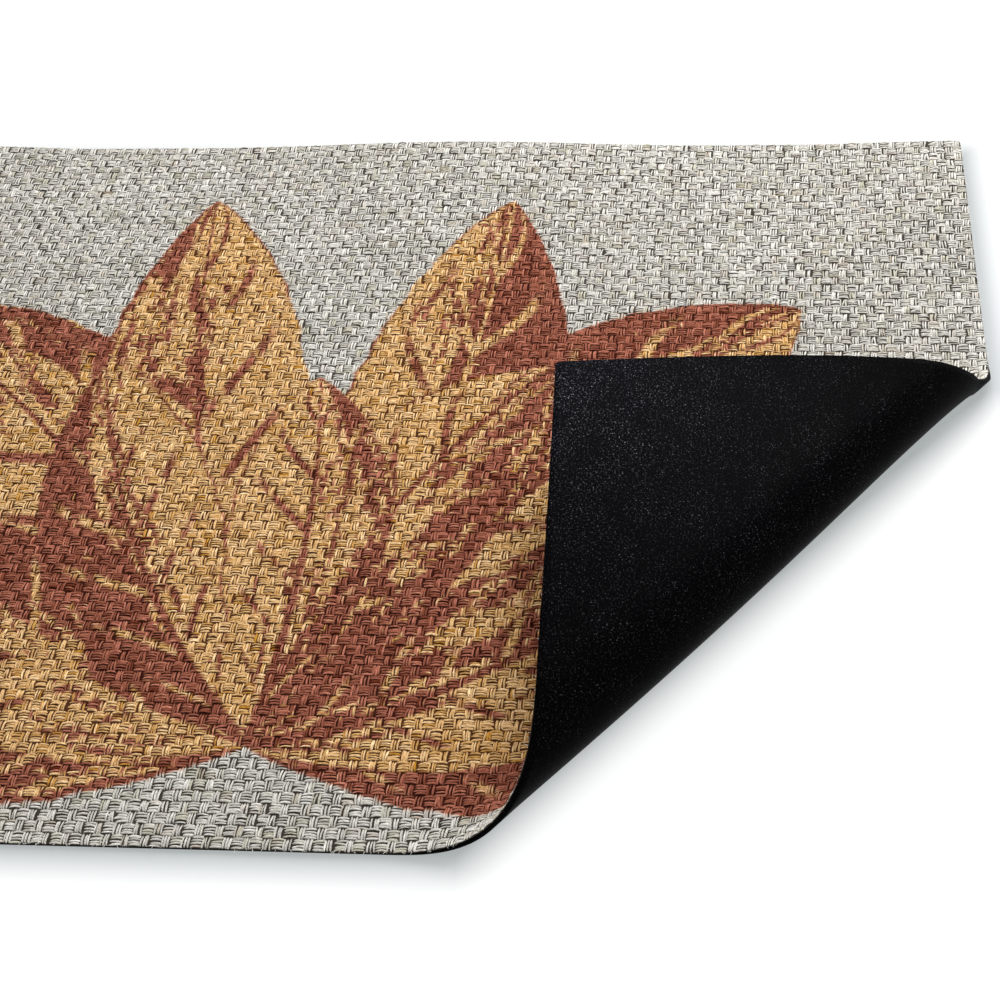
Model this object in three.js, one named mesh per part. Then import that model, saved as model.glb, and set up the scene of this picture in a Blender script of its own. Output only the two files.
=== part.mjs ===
// Doormat, 762 by 457 mm, lying on the floor with its near right corner turned over.
// A printed basket-weave cloth is bonded to a thin rubber backing and cut flush with it.
// X runs along the mat, Y away from the near edge, Z up. Lengths are in millimetres.

import * as THREE from "three";
import { mergeVertices } from "three/addons/utils/BufferGeometryUtils.js";

// Cut size of the mat, and its layers from the floor up.
const LENGTH = 762;
const DEPTH = 457;
const RUBBER_THICKNESS = 2.0;
const BOND_GAP = 0.3;
const CLOTH_THICKNESS = 1.3;
const MAT_THICKNESS = RUBBER_THICKNESS + BOND_GAP + CLOTH_THICKNESS;

// The mat lies pulled a little out of square: slope of each edge, as rise over run.
const RIGHT_EDGE_LEAN = 0.0195;
const NEAR_EDGE_SLOPE = 0.02;
const FAR_EDGE_SLOPE = -0.004;
const CORNER_TRIM = 1.5;

// The turned-over corner. It bends round a cone: every straight line across the bend
// points to one apex, beyond the place where the fold crosses the right edge.
const FOLD_START = 249;
const FOLD_HEADING = THREE.MathUtils.degToRad(46);
const APEX_REACH = 495;
const BEND_SPREAD = THREE.MathUtils.degToRad(8.43);
const BEND_EASE = 0.21;

// The springy sheet bows between the two ends of the fold: outward, and up near the right edge.
const BOW_OUT = 6.5;
const BOW_UP = 22;
const BOW_UP_SKEW = 0.65;

// Low swells where the far edge doesn't lie quite down: middle, half width and height.
const SWELLS = [
  { middle: -690, halfWidth: 110, height: 4 },
  { middle: -325, halfWidth: 175, height: 5.5 },
  { middle: 10, halfWidth: 120, height: 3.5 },
];
const SWELL_START = 290;

// Facets: steps round the bend and along each straight line across it.
const STEPS_ALONG_RULING = 24;
const FRAME_STEPS = 240;

// How a block's faces are stored: two triangles a square, the lower face in the last group.
const CORNERS_PER_SQUARE = 6;
const LOWER_FACE_GROUP = 5;

const CLOTH_COLOUR = 0xbab4a9;
const RUBBER_COLOUR = 0x141416;

const smoothstep = (share) => share * share * (3 - 2 * share);
const clamp01 = (value) => THREE.MathUtils.clamp(value, 0, 1);
const heading = (angle) => new THREE.Vector2(Math.cos(angle), Math.sin(angle));

const APEX = new THREE.Vector2(0, FOLD_START).addScaledVector(heading(FOLD_HEADING), APEX_REACH);
const FOLD_LENGTH = FOLD_START / Math.sin(FOLD_HEADING);
const OUTWARD = heading(FOLD_HEADING - Math.PI / 2);
const LAST_FLAT_LINE = heading(FOLD_HEADING - BEND_SPREAD / 2 + Math.PI);
const TOWARD_CORNER = new THREE.Vector2(-LAST_FLAT_LINE.y, LAST_FLAT_LINE.x);

// Where a point of the square-cut mat lies once it is pulled out of square.
// The near right corner is the origin.
function pulled(x, y) {
  const slope = THREE.MathUtils.lerp(NEAR_EDGE_SLOPE, FAR_EDGE_SLOPE, y / DEPTH);
  return new THREE.Vector2(x + RIGHT_EDGE_LEAN * y, y + slope * x);
}

const OUTLINE = {
  nearRight: pulled(0, 0),
  farRight: pulled(0, DEPTH),
  farLeft: pulled(-LENGTH, DEPTH),
  nearLeft: pulled(-LENGTH, 0),
};

// Angle at the apex from the last flat line to a point, positive in the turned-over part.
function rulingOf(point) {
  const from = point.clone().sub(APEX);
  return Math.atan2(from.dot(TOWARD_CORNER), from.dot(LAST_FLAT_LINE));
}

// Share of the half turn that is done after a share of the bend, easing in and out.
function turnDone(share) {
  const rising = (s) => s / 2 - (BEND_EASE / (2 * Math.PI)) * Math.sin((Math.PI * s) / BEND_EASE);
  const whole = 1 - BEND_EASE;
  if (share < BEND_EASE) {
    return rising(share) / whole;
  }
  if (share > 1 - BEND_EASE) {
    return 1 - rising(1 - share) / whole;
  }
  return (share - BEND_EASE / 2) / whole;
}

// Directions of the sheet round the bend: along each line across it, and square to the sheet.
function framesRoundBend(lastRuling) {
  const along = new THREE.Vector3(LAST_FLAT_LINE.x, LAST_FLAT_LINE.y, 0);
  const normal = new THREE.Vector3(0, 0, 1);
  const frames = [{ along: along.clone(), normal: normal.clone() }];
  const step = lastRuling / FRAME_STEPS;
  for (let i = 0; i < FRAME_STEPS; i += 1) {
    const before = turnDone(clamp01((i * step) / BEND_SPREAD));
    const after = turnDone(clamp01(((i + 1) * step) / BEND_SPREAD));
    const spin = along.clone().multiplyScalar(Math.PI * (after - before)).addScaledVector(normal, step);
    const angle = spin.length();
    spin.normalize();
    along.applyAxisAngle(spin, angle);
    normal.applyAxisAngle(spin, angle);
    frames.push({ along: along.clone(), normal: normal.clone() });
  }
  return { frames, step };
}

const ROUND_BEND = framesRoundBend(rulingOf(OUTLINE.nearRight));

function frameAt(ruling) {
  const place = Math.min(ruling / ROUND_BEND.step, FRAME_STEPS);
  const first = Math.min(Math.floor(place), FRAME_STEPS - 1);
  const lower = ROUND_BEND.frames[first];
  const upper = ROUND_BEND.frames[first + 1];
  const share = place - first;
  return {
    along: lower.along.clone().lerp(upper.along, share).normalize(),
    normal: lower.normal.clone().lerp(upper.normal, share).normalize(),
  };
}

// Height of the low swells at the far edge.
function swell(point) {
  const rise = smoothstep(clamp01((point.y - SWELL_START) / (DEPTH - SWELL_START)));
  let height = 0;
  for (const { middle, halfWidth, height: top } of SWELLS) {
    const share = clamp01(Math.abs(point.x - middle) / halfWidth);
    height += top * Math.cos((share * Math.PI) / 2) ** 2;
  }
  return height * rise;
}

// Place of a point of the sheet, at a height above or below the middle of its thickness.
function placed(ruling, distance, height) {
  const middle = MAT_THICKNESS / 2;
  if (ruling <= 0) {
    const line = LAST_FLAT_LINE.clone().rotateAround(new THREE.Vector2(), ruling);
    const flat = APEX.clone().addScaledVector(line, distance);
    return new THREE.Vector3(flat.x, flat.y, middle + height + swell(flat));
  }
  const { along, normal } = frameAt(ruling);
  const point = new THREE.Vector3(APEX.x, APEX.y, middle);
  point.addScaledVector(along, distance).addScaledVector(normal, height);
  const share = clamp01((distance - APEX_REACH) / FOLD_LENGTH);
  const fade = smoothstep(Math.min((2 * ruling) / BEND_SPREAD, 1));
  const out = fade * BOW_OUT * Math.sin(Math.PI * share);
  point.x += out * OUTWARD.x;
  point.y += out * OUTWARD.y;
  point.z += fade * BOW_UP * Math.sin(Math.PI * share ** BOW_UP_SKEW);
  return point;
}

// The two distances from the apex at which one ruling crosses the mat's outline.
function crossings(ruling) {
  const line = LAST_FLAT_LINE.clone().rotateAround(new THREE.Vector2(), ruling);
  const corners = Object.values(OUTLINE);
  const distances = [];
  corners.forEach((start, i) => {
    const edge = corners[(i + 1) % corners.length].clone().sub(start);
    const toStart = start.clone().sub(APEX);
    const spread = line.cross(edge);
    const share = toStart.cross(line) / spread;
    if (share > -1e-9 && share < 1 + 1e-9) {
      distances.push(toStart.cross(edge) / spread);
    }
  });
  return [Math.min(...distances), Math.max(...distances)];
}

// Rulings from the turned-over corner back to the far left one, in even steps between
// the corners and the two ends of the bend.
function rulings() {
  const trimAt = (corner) => CORNER_TRIM / corner.distanceTo(APEX);
  const stops = [
    { ruling: rulingOf(OUTLINE.nearRight) - trimAt(OUTLINE.nearRight), steps: 8 },
    { ruling: BEND_SPREAD, steps: 22 },
    { ruling: 0, steps: 5 },
    { ruling: rulingOf(OUTLINE.nearLeft), steps: 3 },
    { ruling: rulingOf(OUTLINE.farRight), steps: 9 },
    { ruling: rulingOf(OUTLINE.farLeft) + trimAt(OUTLINE.farLeft), steps: 0 },
  ];
  const list = [stops[0].ruling];
  for (let i = 0; i + 1 < stops.length; i += 1) {
    const { ruling: from, steps } = stops[i];
    const to = stops[i + 1].ruling;
    for (let k = 1; k <= steps; k += 1) {
      list.push(THREE.MathUtils.lerp(from, to, k / steps));
    }
  }
  return list;
}

// Splits the squares of a block's lower face on the same diagonals as those of its upper
// face, so that the facets of the two layers lie side by side.
function matchDiagonals(geometry) {
  const corners = geometry.index.array;
  const lower = geometry.groups.find((group) => group.materialIndex === LOWER_FACE_GROUP);
  for (let i = lower.start; i < lower.start + lower.count; i += CORNERS_PER_SQUARE) {
    const [a, b, d, , c] = corners.subarray(i, i + CORNERS_PER_SQUARE);
    corners.set([a, b, c, a, c, d], i);
  }
}

// One layer of the mat: a block of even steps, laid along the rulings and bent with them.
function layer(name, bottom, top, material) {
  const lines = rulings();
  const spans = lines.map(crossings);
  const geometry = new THREE.BoxGeometry(1, 1, 1, lines.length - 1, STEPS_ALONG_RULING, 1);
  geometry.deleteAttribute("normal");
  geometry.deleteAttribute("uv");
  matchDiagonals(geometry);
  const places = geometry.getAttribute("position");
  for (let i = 0; i < places.count; i += 1) {
    const index = Math.round((places.getX(i) + 0.5) * (lines.length - 1));
    const [near, far] = spans[index];
    const distance = THREE.MathUtils.lerp(near, far, places.getY(i) + 0.5);
    const height = places.getZ(i) > 0 ? top : bottom;
    const point = placed(lines[index], distance, height - MAT_THICKNESS / 2);
    places.setXYZ(i, point.x, point.y, point.z);
  }
  const closed = mergeVertices(geometry, 1e-4);
  closed.computeVertexNormals();
  const mesh = new THREE.Mesh(closed, material);
  mesh.name = name;
  return mesh;
}

const rubber = new THREE.MeshStandardMaterial({ color: RUBBER_COLOUR, roughness: 0.75, metalness: 0 });
const cloth = new THREE.MeshStandardMaterial({ color: CLOTH_COLOUR, roughness: 0.95, metalness: 0 });

const mat = new THREE.Group();
mat.add(layer("rubber_backing", 0, RUBBER_THICKNESS, rubber));
mat.add(layer("woven_face", RUBBER_THICKNESS + BOND_GAP, MAT_THICKNESS, cloth));

// The origin is on the floor, under the middle of the mat as it lies.
const extent = new THREE.Box3().setFromObject(mat);
const centre = extent.getCenter(new THREE.Vector3());
mat.position.set(-centre.x, -centre.y, -extent.min.z);

export default mat;
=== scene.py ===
"""Doormat of printed basket-weave cloth on a rubber backing, its near right corner turned over.

The mat is first laid out flat, in millimetres, with its near right corner at the origin.
Every piece is then bent by the same rule and put in metres into the frame of the solids.
"""

import logging
import math
from dataclasses import dataclass, field
from enum import Enum

import bmesh
import bpy
import numpy as np
from mathutils import Matrix, Quaternion, Vector
from mathutils.geometry import convex_hull_2d


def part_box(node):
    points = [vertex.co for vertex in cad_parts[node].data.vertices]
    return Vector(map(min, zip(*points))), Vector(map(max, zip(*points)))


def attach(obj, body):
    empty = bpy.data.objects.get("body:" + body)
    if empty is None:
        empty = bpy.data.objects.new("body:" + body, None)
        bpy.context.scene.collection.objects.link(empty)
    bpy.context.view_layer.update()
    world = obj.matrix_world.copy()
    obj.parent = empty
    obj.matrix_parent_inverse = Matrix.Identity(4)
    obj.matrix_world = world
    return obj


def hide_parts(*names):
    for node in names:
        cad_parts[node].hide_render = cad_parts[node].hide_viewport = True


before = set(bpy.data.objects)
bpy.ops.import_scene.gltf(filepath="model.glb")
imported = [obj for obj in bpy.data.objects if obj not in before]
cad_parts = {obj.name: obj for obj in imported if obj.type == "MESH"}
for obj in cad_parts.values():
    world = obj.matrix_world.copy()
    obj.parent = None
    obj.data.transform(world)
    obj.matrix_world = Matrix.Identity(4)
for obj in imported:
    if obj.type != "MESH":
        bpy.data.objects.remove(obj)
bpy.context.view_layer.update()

MM = 0.001
WAVE_REPEAT = 0.32  # how often a wave texture repeats at a scale of 1
PLAN_UV = "plan"
YARN_UV = "yarn"
DYE = "dye"
SLUB = "slub"
# How far a vertex lies down the side or end of a yarn, which sets the painted light and shade.
SHADE_DEPTH = "shade_depth"
DUST_AND_SHEEN = "dust_and_sheen"
CLEAR_OF_SHADOW = "clear"

log = logging.getLogger("doormat")


class Way(Enum):
    """The two ways in which yarns run through the cloth."""

    WARP = "warp"
    WEFT = "weft"


class Side(Enum):
    """The side of a leaf that lies in shade."""

    LEFT = 1.0
    RIGHT = -1.0


def smoothstep(share: np.ndarray) -> np.ndarray:
    """Ease from 0 to 1, clipped at both ends."""
    share = np.clip(share, 0.0, 1.0)
    return share * share * (3.0 - 2.0 * share)


def past(distance: np.ndarray, blur: float) -> np.ndarray:
    """Turn the distance past an edge into 0 before it and 1 after it, with a blur between."""
    return smoothstep(distance / blur + 0.5)


def linear(hex_colour: str) -> tuple[float, float, float, float]:
    """Turn an sRGB hex colour into linear light.

    Args:
        hex_colour: colour as "#RRGGBB".

    Returns:
        Red, green and blue in linear light, and an alpha of 1.
    """
    parts = [int(hex_colour[i : i + 2], 16) / 255.0 for i in (1, 3, 5)]
    light = [p / 12.92 if p <= 0.04045 else ((p + 0.055) / 1.055) ** 2.4 for p in parts]
    return (light[0], light[1], light[2], 1.0)


@dataclass(frozen=True)
class Swell:
    """A low rise of the far edge off the floor, in millimetres."""

    middle: float
    half_width: float
    height: float


@dataclass(frozen=True)
class MatShape:
    """Cut size of the mat, its layers, and how it lies, in millimetres and radians."""

    length: float = 762.0
    depth: float = 457.0
    rubber: float = 2.0
    bond: float = 0.3
    cloth: float = 1.3
    right_edge_lean: float = 0.0195
    near_edge_slope: float = 0.02
    far_edge_slope: float = -0.004
    fold_start: float = 249.0
    fold_heading: float = math.radians(46.0)
    apex_reach: float = 495.0
    bend_spread: float = math.radians(8.43)
    bend_ease: float = 0.21
    bow_out: float = 6.5
    bow_up: float = 22.0
    bow_up_skew: float = 0.65
    swell_start: float = 290.0
    swells: tuple[Swell, ...] = (Swell(-690, 110, 4.0), Swell(-325, 175, 5.5), Swell(10, 120, 3.5))

    @property
    def thickness(self) -> float:
        """Thickness of the whole mat."""
        return self.rubber + self.bond + self.cloth


class LyingMat:
    """Where each point of the cut mat lies, flat on the floor or in the turned-over corner.

    The corner bends round a cone: every straight line across the bend, here called a
    ruling, points to one apex beyond the right edge.
    """

    FRAME_STEPS = 400
    LAST_RULING = 0.4  # radians at the apex, a little past the turned-over corner

    def __init__(self, shape: MatShape) -> None:
        """Work out the bend from the mat's shape.

        Args:
            shape: cut size and lie of the mat.
        """
        self.shape = shape
        fold = np.array([math.cos(shape.fold_heading), math.sin(shape.fold_heading)])
        self.apex = np.array([0.0, shape.fold_start]) + shape.apex_reach * fold
        self.fold_length = shape.fold_start / math.sin(shape.fold_heading)
        self.outward = np.array([fold[1], -fold[0]])
        first = shape.fold_heading - shape.bend_spread / 2 + math.pi
        self.last_flat_line = np.array([math.cos(first), math.sin(first)])
        self.toward_corner = np.array([-self.last_flat_line[1], self.last_flat_line[0]])
        self.rulings, self.along, self.normal = self._frames_round_bend()
        low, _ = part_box("rubber_backing")
        corner = self.pulled(np.array([-shape.length]), np.array([0.0]))
        self.origin = np.array([low[0] - corner[0][0] * MM, low[1] - corner[1][0] * MM, low[2]])

    def pulled(self, x: np.ndarray, y: np.ndarray) -> tuple[np.ndarray, np.ndarray]:
        """Move points of the square-cut mat to where they lie when it is a little out of square.

        Args:
            x: places along the mat.
            y: places across the mat.

        Returns:
            The moved x and y.
        """
        s = self.shape
        slope = s.near_edge_slope + (s.far_edge_slope - s.near_edge_slope) * y / s.depth
        return x + s.right_edge_lean * y, y + slope * x

    def _turn_done(self, share: np.ndarray) -> np.ndarray:
        """Work out the share of the half turn that is done, easing in and out.

        Args:
            share: share of the bend that is passed.

        Returns:
            The share of the half turn.
        """
        ease = self.shape.bend_ease
        whole = 1.0 - ease

        def rising(s: np.ndarray) -> np.ndarray:
            """Turn done while the bend still tightens."""
            return s / 2 - ease / (2 * math.pi) * np.sin(math.pi * s / ease)

        middle = (share - ease / 2) / whole
        start = rising(share) / whole
        end = 1.0 - rising(1.0 - share) / whole
        return np.where(share < ease, start, np.where(share > 1.0 - ease, end, middle))

    def _frames_round_bend(self) -> tuple[np.ndarray, np.ndarray, np.ndarray]:
        """Turn the sheet's directions step by step round the bend.

        Returns:
            The rulings' angles, and at each the directions along the ruling and square
            to the sheet.
        """
        rulings = np.linspace(0.0, self.LAST_RULING, self.FRAME_STEPS + 1)
        turned = math.pi * self._turn_done(np.clip(rulings / self.shape.bend_spread, 0.0, 1.0))
        step = float(rulings[1])
        along = Vector((*self.last_flat_line, 0.0))
        normal = Vector((0.0, 0.0, 1.0))
        alongs, normals = [along.copy()], [normal.copy()]
        for turn in np.diff(turned):
            spin = along * float(turn) + normal * step
            rotation = Quaternion(spin.normalized(), spin.length)
            along = rotation @ along
            normal = rotation @ normal
            alongs.append(along.copy())
            normals.append(normal.copy())
        return rulings, np.array(alongs), np.array(normals)

    def _swell(self, x: np.ndarray, y: np.ndarray) -> np.ndarray:
        """Work out the height of the low swells at the far edge.

        Args:
            x: places along the mat.
            y: places across the mat.

        Returns:
            The height at each place.
        """
        s = self.shape
        rise = smoothstep((y - s.swell_start) / (s.depth - s.swell_start))
        height = np.zeros_like(x)
        for swell in s.swells:
            share = np.clip(np.abs(x - swell.middle) / swell.half_width, 0.0, 1.0)
            height += swell.height * np.cos(share * math.pi / 2) ** 2
        return height * rise

    def placed(self, x: np.ndarray, y: np.ndarray, height: np.ndarray) -> np.ndarray:
        """Lay points of the cut mat down and bend them with it.

        Args:
            x: places along the mat, from the right edge, in millimetres.
            y: places across the mat, from the near edge.
            height: heights above the middle of the mat's thickness.

        Returns:
            An array of points in metres, in the frame of the solids.
        """
        s = self.shape
        x, y = self.pulled(x, y)
        middle = s.thickness / 2
        flat = np.stack([x, y, middle + height + self._swell(x, y)], axis=-1)
        offset = np.stack([x - self.apex[0], y - self.apex[1]], axis=-1)
        distance = np.linalg.norm(offset, axis=-1)
        ruling = np.arctan2(offset @ self.toward_corner, offset @ self.last_flat_line)
        along = np.stack([np.interp(ruling, self.rulings, self.along[:, k]) for k in range(3)], -1)
        normal = np.stack([np.interp(ruling, self.rulings, self.normal[:, k]) for k in range(3)], -1)
        bent = along * distance[:, None] + normal * height[:, None]
        bent += np.array([self.apex[0], self.apex[1], middle])
        share = np.clip((distance - s.apex_reach) / self.fold_length, 0.0, 1.0)
        fade = smoothstep(2.0 * ruling / s.bend_spread)
        bent[:, :2] += (fade * s.bow_out * np.sin(math.pi * share))[:, None] * self.outward
        bent[:, 2] += fade * s.bow_up * np.sin(math.pi * share**s.bow_up_skew)
        return np.where((ruling <= 0.0)[:, None], flat, bent) * MM + self.origin


class SmoothNoise:
    """Seeded random values on a grid of knots, read smoothly in between."""

    SIZE = 256

    def __init__(self, seed: int) -> None:
        """Draw the knots.

        Args:
            seed: number that fixes the draw.
        """
        self.knots = np.random.default_rng(seed).random((self.SIZE, self.SIZE))

    def at(self, u: np.ndarray, v: np.ndarray) -> np.ndarray:
        """Read the noise.

        Args:
            u: places along the knots' rows, counted in knots.
            v: places across them.

        Returns:
            Values from 0 to 1.
        """
        u0, v0 = np.floor(u).astype(int), np.floor(v).astype(int)
        fu, fv = smoothstep(u - u0), smoothstep(v - v0)
        a, b = u0 % self.SIZE, v0 % self.SIZE
        c, d = (u0 + 1) % self.SIZE, (v0 + 1) % self.SIZE
        near = self.knots[a, b] * (1 - fu) + self.knots[c, b] * fu
        far = self.knots[a, d] * (1 - fu) + self.knots[c, d] * fu
        return near * (1 - fv) + far * fv

    def along_strands(self, strand: np.ndarray, place: np.ndarray) -> np.ndarray:
        """Read values that vary smoothly along each strand and not from one to the next.

        Args:
            strand: the strands' numbers.
            place: places along them, counted in knots.

        Returns:
            Values from 0 to 1.
        """
        # Strands side by side read rows that are apart, so that they don't look alike.
        row = (strand * 7 + 3).astype(int) % self.SIZE
        start = np.floor(place).astype(int)
        share = smoothstep(place - start)
        first = self.knots[row, start % self.SIZE]
        return first * (1 - share) + self.knots[row, (start + 1) % self.SIZE] * share


@dataclass(frozen=True)
class Leaf:
    """One printed leaf of the fan, in millimetres and degrees."""

    heading: float
    length: float
    half_width: float
    curl: float
    shade: Side
    dark: bool = False


@dataclass(frozen=True)
class LeafPrint:
    """A fan of broad leaves in gold and rust, laid on with a dry brush."""

    root_x: float = -400.0
    root_y: float = 50.0
    leaves: tuple[Leaf, ...] = (
        Leaf(164, 330, 72, 0.12, Side.LEFT),
        Leaf(14, 325, 72, -0.10, Side.RIGHT, dark=True),
        Leaf(137, 400, 82, -0.12, Side.RIGHT),
        Leaf(43, 400, 82, 0.12, Side.LEFT),
        Leaf(105, 372, 80, 0.10, Side.LEFT),
        Leaf(73, 372, 78, -0.12, Side.RIGHT, dark=True),
        Leaf(151, 255, 60, 0.16, Side.RIGHT, dark=True),
        Leaf(28, 255, 62, -0.16, Side.LEFT),
        Leaf(121, 270, 62, 0.14, Side.LEFT),
        Leaf(58, 270, 60, 0.16, Side.RIGHT),
        Leaf(90, 222, 58, -0.10, Side.RIGHT),
    )
    edge_wander: float = 4.0
    wander_pitch: float = 11.0
    patch_length: float = 70.0
    patches_across: float = 1.6
    streak_length: float = 30.0
    streaks_across: float = 9.0
    hair_length: float = 9.0
    hairs_across: float = 21.6
    shaded_side: float = 0.62
    shaded_root: float = 0.16
    patchy: float = 0.5
    streaky: float = 0.52
    hairy: float = 0.24
    dark_level: float = 0.30
    light_level: float = 0.47
    paint_edge: float = 0.05
    veins: float = 6.5
    vein_sweep: float = 1.3
    vein_half_width: float = 0.085
    midrib: float = 2.6
    leaf_blur: float = 0.8
    vein_blur: float = 0.04
    midrib_blur: float = 0.7
    dry_veins: float = 0.22
    dry_outline: float = 0.3
    vein_end: float = 0.85
    shade_spread: float = 0.62

    def painted(
        self, x: np.ndarray, y: np.ndarray, catch: np.ndarray | float = 0.0
    ) -> tuple[np.ndarray, np.ndarray]:
        """Lay the leaves over each other in order.

        Args:
            x: places along the cut mat.
            y: places across the cut mat.
            catch: how much better or worse than others each yarn takes the rust.

        Returns:
            How far each place is painted, and how far the paint is rust, from 0 to 1.
        """
        paint = np.zeros_like(x)
        rust = np.zeros_like(x)
        for number, leaf in enumerate(self.leaves):
            inside, dark = self._one(leaf, number, x, y, catch)
            rust = rust * (1 - inside) + inside * dark
            paint = np.maximum(paint, inside)
        return paint, rust

    def _one(
        self, leaf: Leaf, number: int, x: np.ndarray, y: np.ndarray, catch: np.ndarray | float
    ) -> tuple[np.ndarray, np.ndarray]:
        """Paint one leaf.

        Args:
            leaf: the leaf.
            number: its place in the order, which seeds its brush marks.
            x: places along the cut mat.
            y: places across the cut mat.
            catch: how much better or worse than others each yarn takes the rust.

        Returns:
            How far each place is inside the leaf, and how far it is rust there.
        """
        noise = SmoothNoise(100 + number)
        turn = math.radians(leaf.heading)
        dx, dy = x - self.root_x, y - self.root_y
        along = (dx * math.cos(turn) + dy * math.sin(turn)) / leaf.length
        across = -dx * math.sin(turn) + dy * math.cos(turn)
        share = np.clip(along, 0.0, 1.0)
        across = across - leaf.curl * leaf.length * share * (1 - share) * 2
        wander = noise.at(x / self.wander_pitch + 90, y / self.wander_pitch) - 0.5
        # A leaf is widest a little past its middle and tapers to both ends.
        belly = np.sin(math.pi * share**0.9) ** 0.8 * (0.45 + 0.75 * share)
        reach = leaf.half_width * belly + self.edge_wander * wander * np.sin(math.pi * share)
        reach = np.maximum(reach, 0.01)
        side = across / reach
        inside = past(reach - np.abs(across), self.leaf_blur) * ((along > 0) & (along < 1))

        # Each reading starts in its own part of the knots. The dry brush leaves patches,
        # streaks and hairlines along the leaf, and the veins come out in the other colour.
        place = share * leaf.length
        patch = noise.at(place / self.patch_length, side * self.patches_across + 60)
        streak = noise.at(place / self.streak_length, side * self.streaks_across + 120)
        hair = noise.at(place / self.hair_length + 40, side * self.hairs_across + 180)
        shaded = smoothstep(0.5 + self.shade_spread * leaf.shade.value * side)
        dark = self.shaded_side * shaded + self.shaded_root * (1 - share) ** 2 + catch
        dark = dark + self.patchy * (patch - 0.5) + self.streaky * (streak - 0.5) + self.hairy * (hair - 0.5)
        level = self.dark_level if leaf.dark else self.light_level
        rust = past(dark - level, self.paint_edge)
        off_vein = np.abs((share * self.veins - self.vein_sweep * np.abs(side)) % 1.0 - 0.5)
        vein = past(self.vein_half_width - off_vein, self.vein_blur)
        vein = vein * smoothstep((streak - self.dry_veins) * 4)
        rust = rust + (1 - 2 * rust) * vein * smoothstep((self.vein_end - np.abs(side)) * 4)
        rib = past(self.midrib * (1.25 - share) - np.abs(across), self.midrib_blur)
        outline = smoothstep((np.abs(side) - 1.0) * reach / 1.4 + 1.6)
        outline = outline * smoothstep((streak - self.dry_outline) * 5)
        rust = np.maximum(rust, outline)
        return inside, rust * (1 - rib) + rib * (0.0 if leaf.dark else 1.0)


class Nodes:
    """The node tree of a material or of the room, with one way to add a node."""

    def __init__(self, owner: bpy.types.Material | bpy.types.World) -> None:
        """Empty the owner's node tree.

        Args:
            owner: the material or world that the nodes are for.
        """
        owner.use_nodes = True
        self.tree = owner.node_tree
        self.tree.nodes.clear()

    def add(self, kind: str, inputs: dict | None = None, **settings: object) -> bpy.types.Node:
        """Add a node.

        Args:
            kind: the node's type name.
            inputs: for each input, by name or number, a value, a colour as "#RRGGBB", or the
                node or socket it is linked to. A node stands for its first output in use.
            **settings: properties of the node.

        Returns:
            The new node.
        """
        node = self.tree.nodes.new(kind)
        for key, value in settings.items():
            setattr(node, key, value)
        for key, value in (inputs or {}).items():
            if isinstance(value, bpy.types.Node):
                value = next(output for output in value.outputs if output.enabled)
            if isinstance(value, bpy.types.NodeSocket):
                self.tree.links.new(value, node.inputs[key])
            else:
                node.inputs[key].default_value = linear(value) if isinstance(value, str) else value
        return node


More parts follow.
